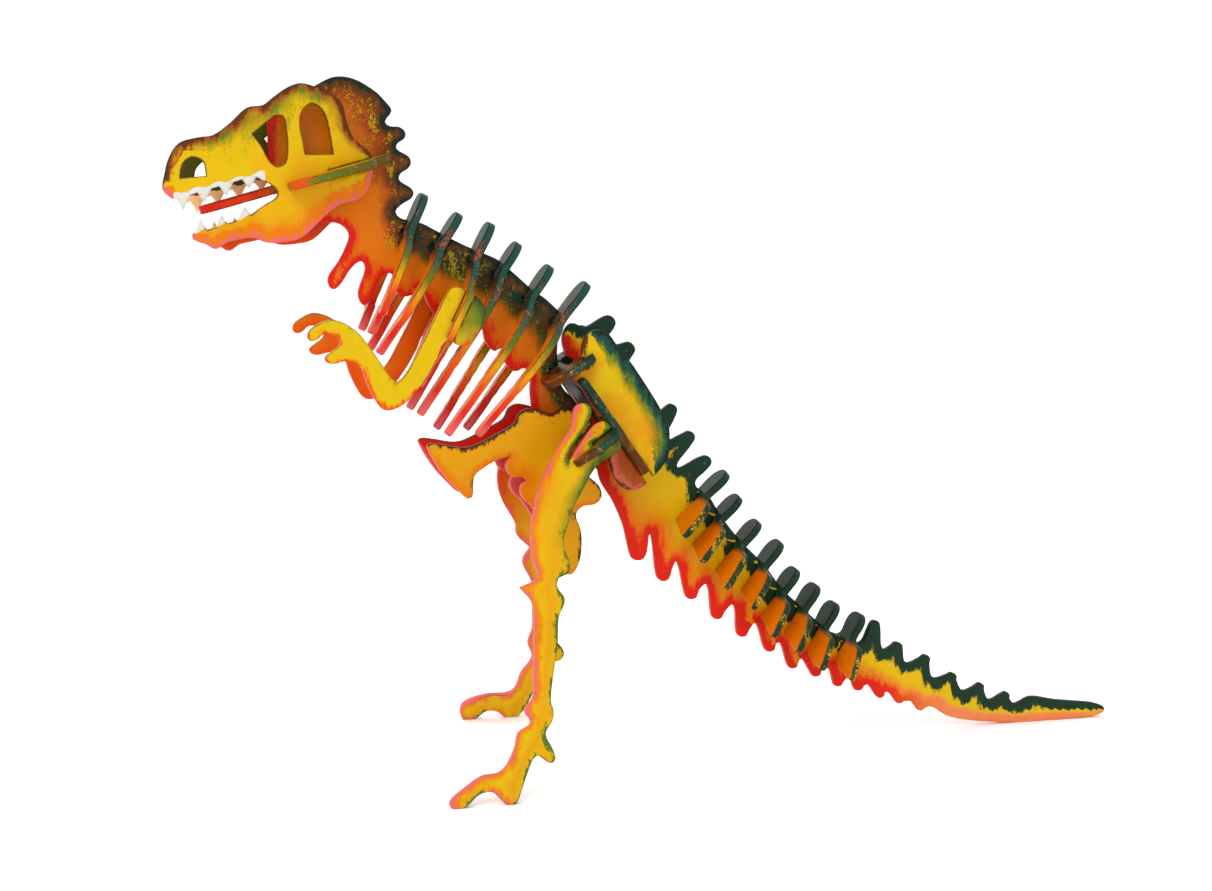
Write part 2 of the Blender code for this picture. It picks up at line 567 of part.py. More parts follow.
def build_tail_vertebrae():
    for number, (tip, lean) in enumerate(VERTEBRAE, start=1):
        name = "tail_vertebra_%d" % number
        frame = cross_frame(tip, math.radians(lean))
        scale = 1.0 - 0.03 * (number - 1)
        plate(name, vertebra_outline(scale), frame, GREEN)
        direction = frame.to_3x3() @ Vector((0, 1, 0))
        meeting = along(frame, -14.6 + 0.29 * (number - 1))
        cross_lap("tail_plate", name, meeting, direction, 16.0, 14.0)


def build_pelvis():
    sacrum_frame = cross_frame(SACRUM_MIDDLE, SACRUM_ANGLE)
    shelf_frame = cross_frame(SHELF_MIDDLE, SHELF_ANGLE)
    hip_frame = cross_frame(HIP_MIDDLE, HIP_ANGLE)
    plate("sacrum_plate", mirrored(SACRUM_HALF), sacrum_frame, GREEN)
    plate("pelvis_shelf", mirrored(SHELF_HALF), shelf_frame, OLIVE)
    plate("hip_plate", mirrored(HIP_HALF), hip_frame, OLIVE)
    sacrum_up = sacrum_frame.to_3x3() @ Vector((0, 1, 0))
    shelf_up = shelf_frame.to_3x3() @ Vector((0, 1, 0))
    hip_up = hip_frame.to_3x3() @ Vector((0, 1, 0))
    cross_lap("body_plate", "sacrum_plate", along(sacrum_frame, -1.5), sacrum_up, 9.0, 8.0)
    cross_lap("tail_plate", "pelvis_shelf", along(shelf_frame, -5.0), shelf_up, 22.0, 22.0)
    cross_lap("body_plate", "hip_plate", along(hip_frame, -1.5), hip_up, 10.0, 10.0)
    for name, side in (("left_ilium", -1), ("right_ilium", 1)):
        plate(name, ILIUM, side_frame(side * ILIUM_Y), YELLOW)
        meeting = along(sacrum_frame, 10.0, side * ILIUM_Y)
        cross_lap("sacrum_plate", name, meeting, sacrum_up, 8.0, 8.0)
        meeting = along(shelf_frame, -2.0, side * ILIUM_Y)
        cross_lap("pelvis_shelf", name, meeting, shelf_up, 30.0, 30.0)
    for name, side in (("left_pubis", -1), ("right_pubis", 1)):
        plate(name, PUBIS, side_frame(side * PUBIS_Y), ORANGE)
        meeting = along(hip_frame, -1.5, side * PUBIS_Y)
        cross_lap(name, "hip_plate", meeting, hip_up, 12.0, 12.0)


def build_legs():
    hip_frame = PLATES["hip_plate"]["frame"]
    hip_normal = hip_frame.to_3x3() @ Vector((0, 0, 1))
    for name, outline, side in (("left_leg", LEFT_LEG, -1), ("right_leg", RIGHT_LEG, 1)):
        frame = leg_frame(side)
        plate(name, outline, frame, YELLOW)
        leg_normal = frame.to_3x3() @ Vector((0, 0, 1))
        direction = leg_normal.cross(hip_normal).normalized()
        if direction.x < 0.0:
            direction = -direction
        height = HIP_MIDDLE[1] / math.cos(LEG_SPLAY)
        meeting = along(frame, height, HIP_MIDDLE[0])
        cross_lap(name, "hip_plate", meeting, direction, 16.0, 16.0)
        cut_sole(name, side)


def cut_sole(name, side):
    """Trim the foot flat where it stands on the floor."""
    loop = [Vector((-110.0, -20.0)), Vector((-20.0, -20.0))]
    loop += [Vector((-20.0, 20.0)), Vector((-110.0, 20.0))]
    floor_frame = Matrix.Translation(Vector((0.0, side * FOOT_Y, -5.0)))
    cut(name, prism_mesh("floor", [loop], 5.0), floor_frame)


def clear_scene():
    for item in list(bpy.data.objects):
        bpy.data.objects.remove(item, do_unlink=True)


clear_scene()
build_head_and_body()
build_ribs()
build_arms()
build_tail_vertebrae()
build_pelvis()
build_legs()
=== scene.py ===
"""Painted plywood T-rex skeleton puzzle: rounded plates, brushed paint and a plain studio.

Each plate of the frame is rebuilt with softly rounded edges and a fine face mesh.  Every
vertex carries six numbers that the paint reads:
  edge   distance to the plate's outline, in millimetres
  turn   which way the nearest outline faces, 1 towards the back of the animal, -1 the belly
  rise   0 at the belly side or lower end of the plate, 1 at the back or upper end
  zone   how far the second of a plate's two paint schemes has taken over, from 0 to 1
  inner  1 on the side of a paired plate that faces the middle of the animal, else 0
  tooth  how far past the gum line of the skull, in millimetres; below zero is bone
"""
import json
import math

import bmesh
import bpy
import numpy as np
from mathutils import Euler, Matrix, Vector
from mathutils.geometry import delaunay_2d_cdt


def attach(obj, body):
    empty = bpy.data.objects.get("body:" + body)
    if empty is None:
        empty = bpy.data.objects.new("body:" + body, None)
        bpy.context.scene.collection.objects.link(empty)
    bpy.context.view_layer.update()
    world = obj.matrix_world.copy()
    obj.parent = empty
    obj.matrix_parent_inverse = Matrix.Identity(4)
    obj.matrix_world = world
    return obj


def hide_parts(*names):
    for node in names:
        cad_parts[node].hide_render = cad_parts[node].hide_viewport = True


MM = 0.001              # one millimetre, in metres
ROUND = 0.42            # radius of the rounded edges, mm
GRID = 1.5              # spacing of the face mesh, mm
ROW = 0.866             # height of an equilateral triangle, for the rows of that mesh
RINGS = (0.3 * ROUND, ROUND, 1.1)       # distances from the outline to the rings of points, mm
BLOCK = 2000            # points compared with all segments at a time
CREASE = math.radians(48)               # edges folded more than this stay sharp
FLUSH = 0.05            # faces of one flat side lie within this of each other, mm
CROSSING = 0.9          # plates cross when their normals' dot product is below this
SLOT_NEAR = 2.4         # how far from a crossing plate's middle its slot's wall can lie, mm
SLOT_FACING = 0.8       # how squarely a slot's wall faces the crossing plate
SIDE_TURN = 0.3         # the outline counts as back or belly beyond this turn
TURN_GAIN = 2.2         # sharpens the averaged turn, so that most of it is fully back or belly
PAIRED_FROM = 0.004     # lengthwise plates this far off the middle plane are pairs, m
NO_TOOTH = -9.0         # the tooth number of every plate but the skull's, mm

UP_LEAN = (0.42, 0.0, 0.91)
UP = (0.0, 0.0, 1.0)
REAR = (1.0, 0.0, 0.1)


# ---------------------------------------------------------------- plate geometry

def segment_distances(points, start, end):
    """Distance of each point to its nearest segment, and which segment that is."""
    best = np.full(len(points), 1e9)
    which = np.zeros(len(points), int)
    along = end - start
    squared = np.maximum((along ** 2).sum(1), 1e-12)
    for first in range(0, len(points), BLOCK):
        block = points[first:first + BLOCK, None, :] - start[None]
        place = np.clip((block * along).sum(2) / squared, 0.0, 1.0)
        gap = np.linalg.norm(block - place[..., None] * along, axis=2)
        which[first:first + BLOCK] = gap.argmin(1)
        best[first:first + BLOCK] = gap.min(1)
    return best, which


def inside(points, start, end):
    """Even-odd test of points against the outline's segments."""
    answer = np.zeros(len(points), bool)
    rise = end[:, 1] - start[:, 1]
    rise = np.where(np.abs(rise) < 1e-12, 1e-12, rise)
    for first in range(0, len(points), BLOCK):
        x = points[first:first + BLOCK, None, 0]
        y = points[first:first + BLOCK, None, 1]
        spans = (start[:, 1] > y) != (end[:, 1] > y)
        crossing = start[:, 0] + (y - start[:, 1]) * (end[:, 0] - start[:, 0]) / rise
        answer[first:first + BLOCK] = (spans & (x < crossing)).sum(1) % 2 == 1
    return answer


def face_points(outline, start, end, outward):
    """Rings just inside the outline, then a staggered grid over the rest."""
    rings = []
    middles = (start + end) / 2.0
    for distance in RINGS:
        ring = np.concatenate([outline - outward[0] * distance, middles - outward[1] * distance])
        gap, _ = segment_distances(ring, start, end)
        rings.append(ring[(gap > 0.93 * distance) & inside(ring, start, end)])
    low, high = outline.min(0), outline.max(0)
    rows = np.arange(low[1] + 0.3, high[1], GRID * ROW)
    columns = np.arange(low[0] + 0.2, high[0], GRID)
    grid = np.array([(x + (n % 2) * GRID / 2, y) for n, y in enumerate(rows) for x in columns])
    gap, _ = segment_distances(grid, start, end)
    return np.concatenate(rings + [grid[(gap > RINGS[-1] + 0.5) & inside(grid, start, end)]])


def cap_faces(bm, normal, side):
    """The faces that make up one flat side of a plate."""
    faces = [f for f in bm.faces if f.normal.dot(normal) * side > 0.9999]
    level = max(f.calc_center_median().dot(normal) * side for f in faces)
    return [f for f in faces if level - f.calc_center_median().dot(normal) * side < FLUSH * MM]


def outer_loop(pairs, outline):
    """Which segments run round the outside of the plate and not round a hole."""
    label = np.arange(len(outline))
    while True:
        lowest = label.copy()
        np.minimum.at(lowest, pairs[:, 0], label[pairs[:, 1]])
        np.minimum.at(lowest, pairs[:, 1], lowest[pairs[:, 0]])
        if (lowest == label).all():
            break
        label = lowest
    outside = label[outline[:, 0].argmax()]
    return label[pairs[:, 0]] == outside


def in_mouth(middle):
    """Outline of the skull between the jaws, with the teeth."""
    x, height = middle[:, 0], middle[:, 2]
    along = (x > MOUTH_X[0]) & (x < MOUTH_X[1])
    return along & (height > MOUTH_HEIGHT[0]) & (height < MOUTH_HEIGHT[1])


def plate_plane(node):
    """Middle plane and box of a plate, in millimetres."""
    normal = max(node.data.polygons, key=lambda f: f.area).normal.copy()
    points = np.array([v.co for v in node.data.vertices]) * 1000.0
    reach = points @ np.array(normal)
    return np.array(normal), (reach.min() + reach.max()) / 2.0, points.min(0), points.max(0)


def in_slots(middle, facing, normal, planes):
    """Parts of an outline that are walls of a slot for a plate that crosses this one."""
    found = np.zeros(len(middle), bool)
    for other, level, low, high in planes:
        if abs(other @ np.array(normal)) < CROSSING:
            near = np.abs(middle @ other - level) < SLOT_NEAR
            boxed = ((middle > low - 1.0) & (middle < high + 1.0)).all(1)
            found |= near & boxed & (np.abs(facing @ other) > SLOT_FACING)
    return found


def along_outline(turn, pairs, weight, count, passes):
    """Average the facing along the outline, so that both sides of a spike count as back."""
    for _ in range(passes):
        total = np.zeros(count)
        share = np.full(count, 1e-9)
        for column in (0, 1):
            np.add.at(total, pairs[:, column], turn * weight)
            np.add.at(share, pairs[:, column], weight)
        at_vert = total / share
        turn = at_vert[pairs].mean(1)
    return np.clip(TURN_GAIN * turn, -1.0, 1.0), np.clip(TURN_GAIN * at_vert, -1.0, 1.0)


def rise_across(points, start, end, turn):
    """Share of the way from the belly side of the outline to the back side."""
    back = turn > SIDE_TURN
    belly = turn < -SIDE_TURN
    to_back, _ = segment_distances(points, start[back], end[back])
    to_belly, _ = segment_distances(points, start[belly], end[belly])
    return to_belly / np.maximum(to_back + to_belly, 1e-6)


class Rim:
    """The outline of one flat side of a plate, measured in the plate's plane in millimetres."""

    def __init__(self, cap, across, back):
        chosen = set(cap)
        rim = {}
        for face in cap:
            for edge in face.edges:
                if sum(f in chosen for f in edge.link_faces) == 1:
                    rim[edge] = face
        self.verts = sorted({v for edge in rim for v in edge.verts}, key=lambda v: v.index)
        number = {v: n for n, v in enumerate(self.verts)}
        self.outline = np.array([(v.co.dot(across), v.co.dot(back)) for v in self.verts]) * 1000.0
        self.pairs = np.array([[number[v] for v in edge.verts] for edge in rim])
        self.start, self.end = self.outline[self.pairs[:, 0]], self.outline[self.pairs[:, 1]]
        direction = self.end - self.start
        self.length = np.linalg.norm(direction, axis=1)
        sideways = np.stack([direction[:, 1], -direction[:, 0]], 1)
        self.outward = sideways / np.maximum(self.length, 1e-9)[:, None]
        centres = [face.calc_center_median() for face in rim.values()]
        centres = np.array([(c.dot(across), c.dot(back)) for c in centres]) * 1000.0
        flip = ((self.start + self.end) / 2.0 - centres) * self.outward
        self.outward[flip.sum(1) < 0.0] *= -1.0
        at_vert = np.zeros_like(self.outline)
        np.add.at(at_vert, self.pairs[:, 0], self.outward)
        np.add.at(at_vert, self.pairs[:, 1], self.outward)
        at_vert /= np.maximum(np.linalg.norm(at_vert, axis=1), 1e-9)[:, None]
        self.outward_at_vert = at_vert
        middles = [sum((v.co for v in edge.verts), Vector()) / 2.0 for edge in rim]
        self.middle = np.array(middles) * 1000.0

    def turns(self, normal, across, back, mouth, passes, planes):
        """The turn of every segment and of every vertex; holes, slots and the mouth have none."""
        counted = outer_loop(self.pairs, self.outline)
        facing = self.outward @ np.array([across, back])
        counted &= ~in_slots(self.middle, facing, normal, planes)
        if mouth is not None:
            counted &= ~in_mouth(self.middle - np.array(mouth) * 1000.0)
        turn = np.where(counted, self.outward[:, 1], 0.0)
        count = len(self.outline)
        turn, at_vert = along_outline(turn, self.pairs, self.length, count, passes)
        touched = np.zeros(count, bool)
        touched[self.pairs[counted]] = True
        return np.where(counted, turn, 0.0), np.where(touched, at_vert, 0.0)


def rounded_drop(gap):
    """How far below the flat side the rounded edge lies, at a distance from the outline."""
    if gap < ROUND:
        return ROUND - math.sqrt(ROUND ** 2 - (ROUND - gap) ** 2)
    return 0.0


def rebuild_cap(bm, normal, across, back, side, mode, layers, mouth, passes, planes):
    """Replace one flat side of a plate by a fine, edge-rounded mesh that knows its place."""
    cap = cap_faces(bm, normal, side)
    level = cap[0].verts[0].co.dot(normal)
    rim = Rim(cap, across, back)
    outline, start, end = rim.outline, rim.start, rim.end
    turn, turn_at_vert = rim.turns(normal, across, back, mouth, passes, planes)

    extra = face_points(outline, start, end, (rim.outward_at_vert, rim.outward))
    points = np.concatenate([outline, extra])
    gap, which = segment_distances(points, start, end)
    gap[:len(outline)] = 0.0
    nearest_turn = turn[which]
    nearest_turn[:len(outline)] = turn_at_vert
    if mode == "across":
        rise = rise_across(points, start, end, turn)
    else:
        rise = (points[:, 1] - outline[:, 1].min()) / np.ptp(outline[:, 1])

    coords = [Vector(p) for p in points.tolist()]
    found, _, triangles, origin, _, _ = delaunay_2d_cdt(coords, rim.pairs.tolist(), [], 0, 1e-7)
    bmesh.ops.delete(bm, geom=cap, context="FACES")
    verts = []
    for spot, sources in zip(found, origin):
        source = min(sources) if sources else None
        if source is not None and source < len(outline):
            vert = rim.verts[source]
        else:
            drop = 0.0 if source is None else rounded_drop(gap[source])
            place = across * spot.x + back * spot.y
            vert = bm.verts.new(place * MM + normal * (level - side * drop * MM))
        if source is not None:
            vert[layers["edge"]] = gap[source]
            vert[layers["turn"]] = nearest_turn[source]
            vert[layers["rise"]] = rise[source]
        verts.append(vert)
    centre = np.array([sum((found[i] for i in t), Vector((0, 0))) / 3.0 for t in triangles])
    for triangle, keep in zip(triangles, inside(centre, start, end)):
        corners = [verts[i] for i in (triangle if side > 0 else reversed(triangle))]
        if keep and len(set(corners)) == 3 and bm.faces.get(corners) is None:
            bm.faces.new(corners).material_index = 0
    for vert in rim.verts:
        vert.co -= normal * side * ROUND * MM


# The mouth of the left skull plate, in mm.  A gum line is (x, height there, slope).
MOUTH_X = (-189.8, -152.4)
MOUTH_HEIGHT = (199.4, 221.0)
UPPER_GUM = (-189.0, 214.0, 0.265)
LOWER_GUM = (-182.6, 200.6, 0.31)
MID_MOUTH = (-182.0, 207.6, 0.16)
JAW_OVERLAP = 1.0       # how far past the mid line each jaw's teeth may reach
UPPER_TEETH = (-189.4, -157.6)
LOWER_TEETH = (-183.0, -161.0)
TOOTH_PITCH = 7.4
SCALLOP = 0.55          # height of the gum line's waves


def line_height(line, x):
    at, height, slope = line
    return height + slope * (x - at)


def past_gum(spot):
    """How far a point of the skull lies beyond the gums, in mm; below zero is painted bone."""
    x, height = spot.x * 1000.0, spot.z * 1000.0
    scallop = SCALLOP * math.cos((x - UPPER_GUM[0]) * 2.0 * math.pi / TOOTH_PITCH)
    upper = line_height(UPPER_GUM, x) + scallop - height
    lower = height - line_height(LOWER_GUM, x) + scallop
    above_mid = height - line_height(MID_MOUTH, x)
    front, rear = UPPER_TEETH
    from_upper = min(upper, x - front, rear - x, above_mid + JAW_OVERLAP)
    front, rear = LOWER_TEETH
    from_lower = min(lower, x - front, rear - x, JAW_OVERLAP - above_mid)
    return max(from_upper, from_lower)


def lowest_corner(node):
    """The lowest x, y and z that a plate reaches."""
    return Vector(np.array([v.co for v in node.data.vertices]).min(0).tolist())


def finished_plate(name, node, back_hint, mode, zone, passes, skull_shift, planes):
    """A copy of one frame plate with rounded edges and the paint's numbers."""
    bm = bmesh.new()
    bm.from_mesh(node.data)
    bmesh.ops.remove_doubles(bm, verts=bm.verts, dist=2e-6)
    bm.normal_update()
    normal = max(bm.faces, key=lambda f: f.calc_area()).normal.copy()
    back = Vector(back_hint)
    back = (back - normal * back.dot(normal)).normalized()
    across = back.cross(normal)
    numbers = ("edge", "turn", "rise", "zone", "tooth", "inner")
    layers = {number: bm.verts.layers.float.new(number) for number in numbers}
    for face in bm.faces:
        face.material_index = 1
    for side in (1, -1):
        bm.verts.index_update()
        rebuild_cap(bm, normal, across, back, side, mode, layers, skull_shift, passes, planes)
    levels = [vert.co.dot(normal) for vert in bm.verts]
    centre = (min(levels) + max(levels)) / 2.0
    middle_y = sum(vert.co.y for vert in bm.verts) / len(bm.verts)
    paired = abs(normal.y) > 0.8 and abs(middle_y) > PAIRED_FROM
    for vert in bm.verts:
        tooth = NO_TOOTH if skull_shift is None else past_gum(vert.co - skull_shift)
        vert[layers["tooth"]] = tooth
        inward = (vert.co.dot(normal) - centre) * normal.y * middle_y < 0.0
        vert[layers["inner"]] = float(paired and inward)
        if zone:
            way, begins, complete = zone
            reach = vert.co.dot(Vector(way).normalized()) * 1000.0
            reach = min(1.0, max(0.0, (reach - begins) / (complete - begins)))
            vert[layers["zone"]] = reach * reach * (3.0 - 2.0 * reach)
    bmesh.ops.delete(bm, geom=[e for e in bm.edges if not e.link_faces], context="EDGES")
    bmesh.ops.recalc_face_normals(bm, faces=bm.faces)
    for face in bm.faces:
        face.smooth = True
    for edge in bm.edges:
        if len(edge.link_faces) == 2:
            edge.smooth = edge.calc_face_angle(0.0) < CREASE
    mesh = bpy.data.meshes.new(name)
    bm.to_mesh(mesh)
    bm.free()
    piece = bpy.data.objects.new(name, mesh)
    bpy.context.scene.collection.objects.link(piece)
    return piece


# ---------------------------------------------------------------- paint

def srgb(red, green, blue, strength=0.78):
    """A colour written 0 to 255 as it looks in full light, as the linear paint colour."""
    values = [c / 255.0 for c in (red, green, blue)]
    linear = [c / 12.92 if c <= 0.04045 else ((c + 0.055) / 1.055) ** 2.4 for c in values]
    return [c * strength for c in linear] + [1.0]


YELLOW = srgb(230, 190, 0)
GOLD = srgb(230, 162, 0)
ORANGE = srgb(236, 124, 0)
FLAME = srgb(240, 78, 8)
RED = srgb(230, 34, 10)
PEACH = srgb(246, 138, 84)
PINK = srgb(238, 108, 104)
# painted highlight: pale pink standing for the gloss shine on the rib faces near their lower ends
PALE_PINK_HIGHLIGHT = srgb(240, 170, 140)
GREEN = srgb(22, 56, 36)
DARK_GREEN = srgb(20, 42, 30)
TEAL = srgb(26, 76, 66)
LEAF = srgb(96, 120, 22)
OLIVE = srgb(84, 82, 14)
UMBER = srgb(96, 52, 12)
RUST = srgb(168, 72, 12)
MOSS = srgb(160, 148, 34)
INK = srgb(24, 26, 20)
IVORY = srgb(232, 234, 228, 0.74)
RAW_WOOD = srgb(250, 208, 150, 1.0)
SHADED = srgb(222, 212, 202, 1.0)
LIT = srgb(255, 255, 255, 1.0)
PAPER = srgb(248, 248, 248, 1.0)
PALE_PAPER = srgb(252, 252, 252, 1.0)


class Graph:
    """Short names for making a material's nodes."""

    def __init__(self, name):
        self.material = bpy.data.materials.new(name)
        self.material.use_nodes = True
        self.nodes = self.material.node_tree.nodes
        self.links = self.material.node_tree.links
        self.shader = self.nodes["Principled BSDF"]
        self.place = self.nodes.new("ShaderNodeTexCoord").outputs["Object"]

    def put(self, socket, value):
        if isinstance(value, bpy.types.NodeSocket):
            self.links.new(value, socket)
        else:
            socket.default_value = value

    def number(self, name):
        node = self.nodes.new("ShaderNodeAttribute")
        node.attribute_name = name
        return node.outputs["Fac"]

    def math(self, operation, *values, clamp=False):
        node = self.nodes.new("ShaderNodeMath")
        node.operation = operation
        node.use_clamp = clamp
        for socket, value in zip(node.inputs, values):
            self.put(socket, value)
        return node.outputs[0]

    def noise(self, scale, detail=3.0, roughness=0.6, stretch=None, turn=(0, 0, 0)):
        place = self.place
        if stretch:
            mapping = self.nodes.new("ShaderNodeMapping")
            self.put(mapping.inputs["Vector"], place)
            mapping.inputs["Rotation"].default_value = turn
            mapping.inputs["Scale"].default_value = stretch
            place = mapping.outputs[0]
        node = self.nodes.new("ShaderNodeTexNoise")
        self.put(node.inputs["Vector"], place)
        node.inputs["Scale"].default_value = scale
        node.inputs["Detail"].default_value = detail
        node.inputs["Roughness"].default_value = roughness
        return node.outputs["Fac"]

    def ramp(self, value, stops):
        node = self.nodes.new("ShaderNodeValToRGB")
        elements = node.color_ramp.elements
        while len(elements) < len(stops):
            elements.new(0.5)
        for element, (position, colour) in zip(elements, sorted(stops, key=lambda s: s[0])):
            element.position = position
            element.color = colour
        self.put(node.inputs[0], value)
        return node.outputs[0]

    def window(self, value, low, high):
        """0 below low, 1 above high, smooth between; low may be above high."""
        node = self.nodes.new("ShaderNodeMapRange")
        node.interpolation_type = "SMOOTHSTEP"
        self.put(node.inputs["Value"], value)
        flipped = low > high
        node.inputs["From Min"].default_value = min(low, high)
        node.inputs["From Max"].default_value = max(low, high)
        node.inputs["To Min"].default_value = 1.0 if flipped else 0.0
        node.inputs["To Max"].default_value = 0.0 if flipped else 1.0
        return node.outputs["Result"]

    def mix(self, share, below, above, blend="MIX"):
        node = self.nodes.new("ShaderNodeMix")
        node.data_type = "RGBA"
        node.blend_type = blend
        self.put(node.inputs[0], share)
        self.put(node.inputs[6], below)
        self.put(node.inputs[7], above)
        return node.outputs[2]


def brushed(graph):
    """The noises shared by every painted surface: cloudy coats, brush streaks, grit."""
    cloud = graph.noise(46.0, 3.0, 0.55)
    streak = graph.noise(300.0, 4.0, 0.65, stretch=(1.0, 1.0, 0.32), turn=(0.0, 0.7, 0.0))
    grit = graph.noise(1150.0, 3.0, 0.7)
    return cloud, streak, grit


def surface(graph, cloud, streak, grit, gloss=0.34):
    """Roughness and relief of brushed acrylic over fine wood grain."""
    shine = graph.math("MULTIPLY_ADD", cloud, 0.22, gloss - 0.11)
    shine = graph.math("MULTIPLY_ADD", grit, 0.14, shine)
    graph.put(graph.shader.inputs["Roughness"], shine)
    grain = graph.noise(210.0, 5.0, 0.7, stretch=(1.0, 1.0, 7.0), turn=(0.0, 0.35, 0.0))
    relief = graph.math("MULTIPLY_ADD", streak, 0.9, graph.math("MULTIPLY", grit, 0.35))
    relief = graph.math("MULTIPLY_ADD", grain, 0.55, relief)
    bump = graph.nodes.new("ShaderNodeBump")
    bump.inputs["Strength"].default_value = 0.5
    bump.inputs["Distance"].default_value = 0.00022
    graph.put(bump.inputs["Height"], relief)
    graph.links.new(bump.outputs[0], graph.shader.inputs["Normal"])
    graph.shader.inputs["Specular IOR Level"].default_value = 0.1
    graph.shader.inputs["Coat Weight"].default_value = 0.02
    graph.shader.inputs["Coat Roughness"].default_value = 0.22


def strokes_over(graph, colour, strokes, ragged, side):
    """Brush strokes laid in from the outline, widest first, where side is 1."""
    for width, solid, tint in strokes:
        mask = graph.math("MULTIPLY", graph.window(ragged, width, solid), side)
        colour = graph.mix(mask, colour, tint)
    return colour


def ink_line(graph, colour, dabs, edge, turn, width):
    """The thin dark line along a face's outline, weaker towards the belly."""
    rim = graph.math("MULTIPLY_ADD", dabs, 1.3, graph.math("ADD", edge, -0.65))
    rim = graph.window(rim, width, 0.05)
    rim = graph.math("MULTIPLY", rim, graph.window(turn, -0.75, 0.1))
    return graph.mix(graph.math("MULTIPLY", rim, 0.8), colour, INK)


def painted(name, faces, walls, zone_faces=None, zone_walls=None, back=(), belly=(),
            belly_fades=False, speckle=YELLOW, speckle_band=(0.6, 0.95), speckle_amount=0.5,
            line=0.55, drift=0.34, wall_back=None, wall_belly=None, inner=None,
            inner_by_zone=False, blush=None, face_speckle=True, teeth=False):
    """Face and wall paint of one kind of plate.

    The ground is a ramp by rise.  back and belly list the strokes brushed in from the
    outline, widest first: where a stroke ends, where it is solid (both in mm) and its colour.
    """
    made = []
    for part, ramp, zone_ramp in (("face", faces, zone_faces), ("edge", walls, zone_walls)):
        graph = Graph(f"{name}_{part}")
        cloud, streak, grit = brushed(graph)
        rise = graph.number("rise")
        turn = graph.number("turn")
        edge = graph.number("edge")
        zone = graph.number("zone")
        sway = graph.math("SUBTRACT", graph.math("ADD", cloud, streak), 1.0)
        level = graph.math("MULTIPLY_ADD", sway, drift, rise)
        colour = graph.ramp(level, ramp)
        if zone_ramp:
            share = graph.math("MULTIPLY_ADD", sway, 0.5, zone, clamp=True)
            colour = graph.mix(share, colour, graph.ramp(level, zone_ramp))
        dabs = graph.math("MULTIPLY_ADD", grit, 0.5, graph.math("MULTIPLY", streak, 0.5))
        if part == "edge" or face_speckle:
            low, high = speckle_band
            band = graph.math("MULTIPLY", graph.window(level, low - 0.1, low + 0.05),
                              graph.window(level, high + 0.1, high - 0.05))
            spots = graph.math("MULTIPLY", graph.window(dabs, 0.53, 0.60), band)
            colour = graph.mix(graph.math("MULTIPLY", spots, speckle_amount), colour, speckle)
        if part == "face":
            if blush:
                patch = graph.math("MULTIPLY", graph.window(cloud, 0.5, 0.66), 0.5)
                colour = graph.mix(patch, colour, blush)
            ragged = graph.math("MULTIPLY_ADD", grit, 3.0, graph.math("ADD", edge, -6.0))
            ragged = graph.math("MULTIPLY_ADD", streak, 9.0, ragged)
            colour = strokes_over(graph, colour, back, ragged, graph.window(turn, 0.04, 0.3))
            on_belly = graph.window(turn, -0.04, -0.3)
            if belly_fades:
                on_belly = graph.math("MULTIPLY", on_belly, graph.window(zone, 1.0, 0.2))
            colour = strokes_over(graph, colour, belly, ragged, on_belly)
            if inner:
                share = graph.number("inner")
                if inner_by_zone:
                    share = graph.math("MULTIPLY", share, zone)
                colour = graph.mix(share, colour, graph.ramp(level, inner))
            colour = ink_line(graph, colour, dabs, edge, turn, line)
        else:
            if wall_back:
                colour = graph.mix(graph.window(turn, -0.1, 0.5), colour, wall_back)
            if wall_belly:
                colour = graph.mix(graph.window(turn, 0.1, -0.4), colour, wall_belly)
            worn = graph.math("MULTIPLY", graph.window(dabs, 0.585, 0.64), 0.35)
            colour = graph.mix(worn, colour, speckle)
        if teeth:
            white = graph.math("MULTIPLY_ADD", dabs, 1.2, graph.number("tooth"))
            enamel = graph.mix(graph.number("inner"), IVORY, RAW_WOOD)
            colour = graph.mix(graph.window(white, 0.45, 0.75), colour, enamel)
        shade = graph.ramp(cloud, [(0.25, SHADED), (0.75, LIT)])
        colour = graph.mix(0.45, colour, shade, "MULTIPLY")
        graph.put(graph.shader.inputs["Base Color"], colour)
        surface(graph, cloud, streak, grit)
        made.append(graph.material)
    return made


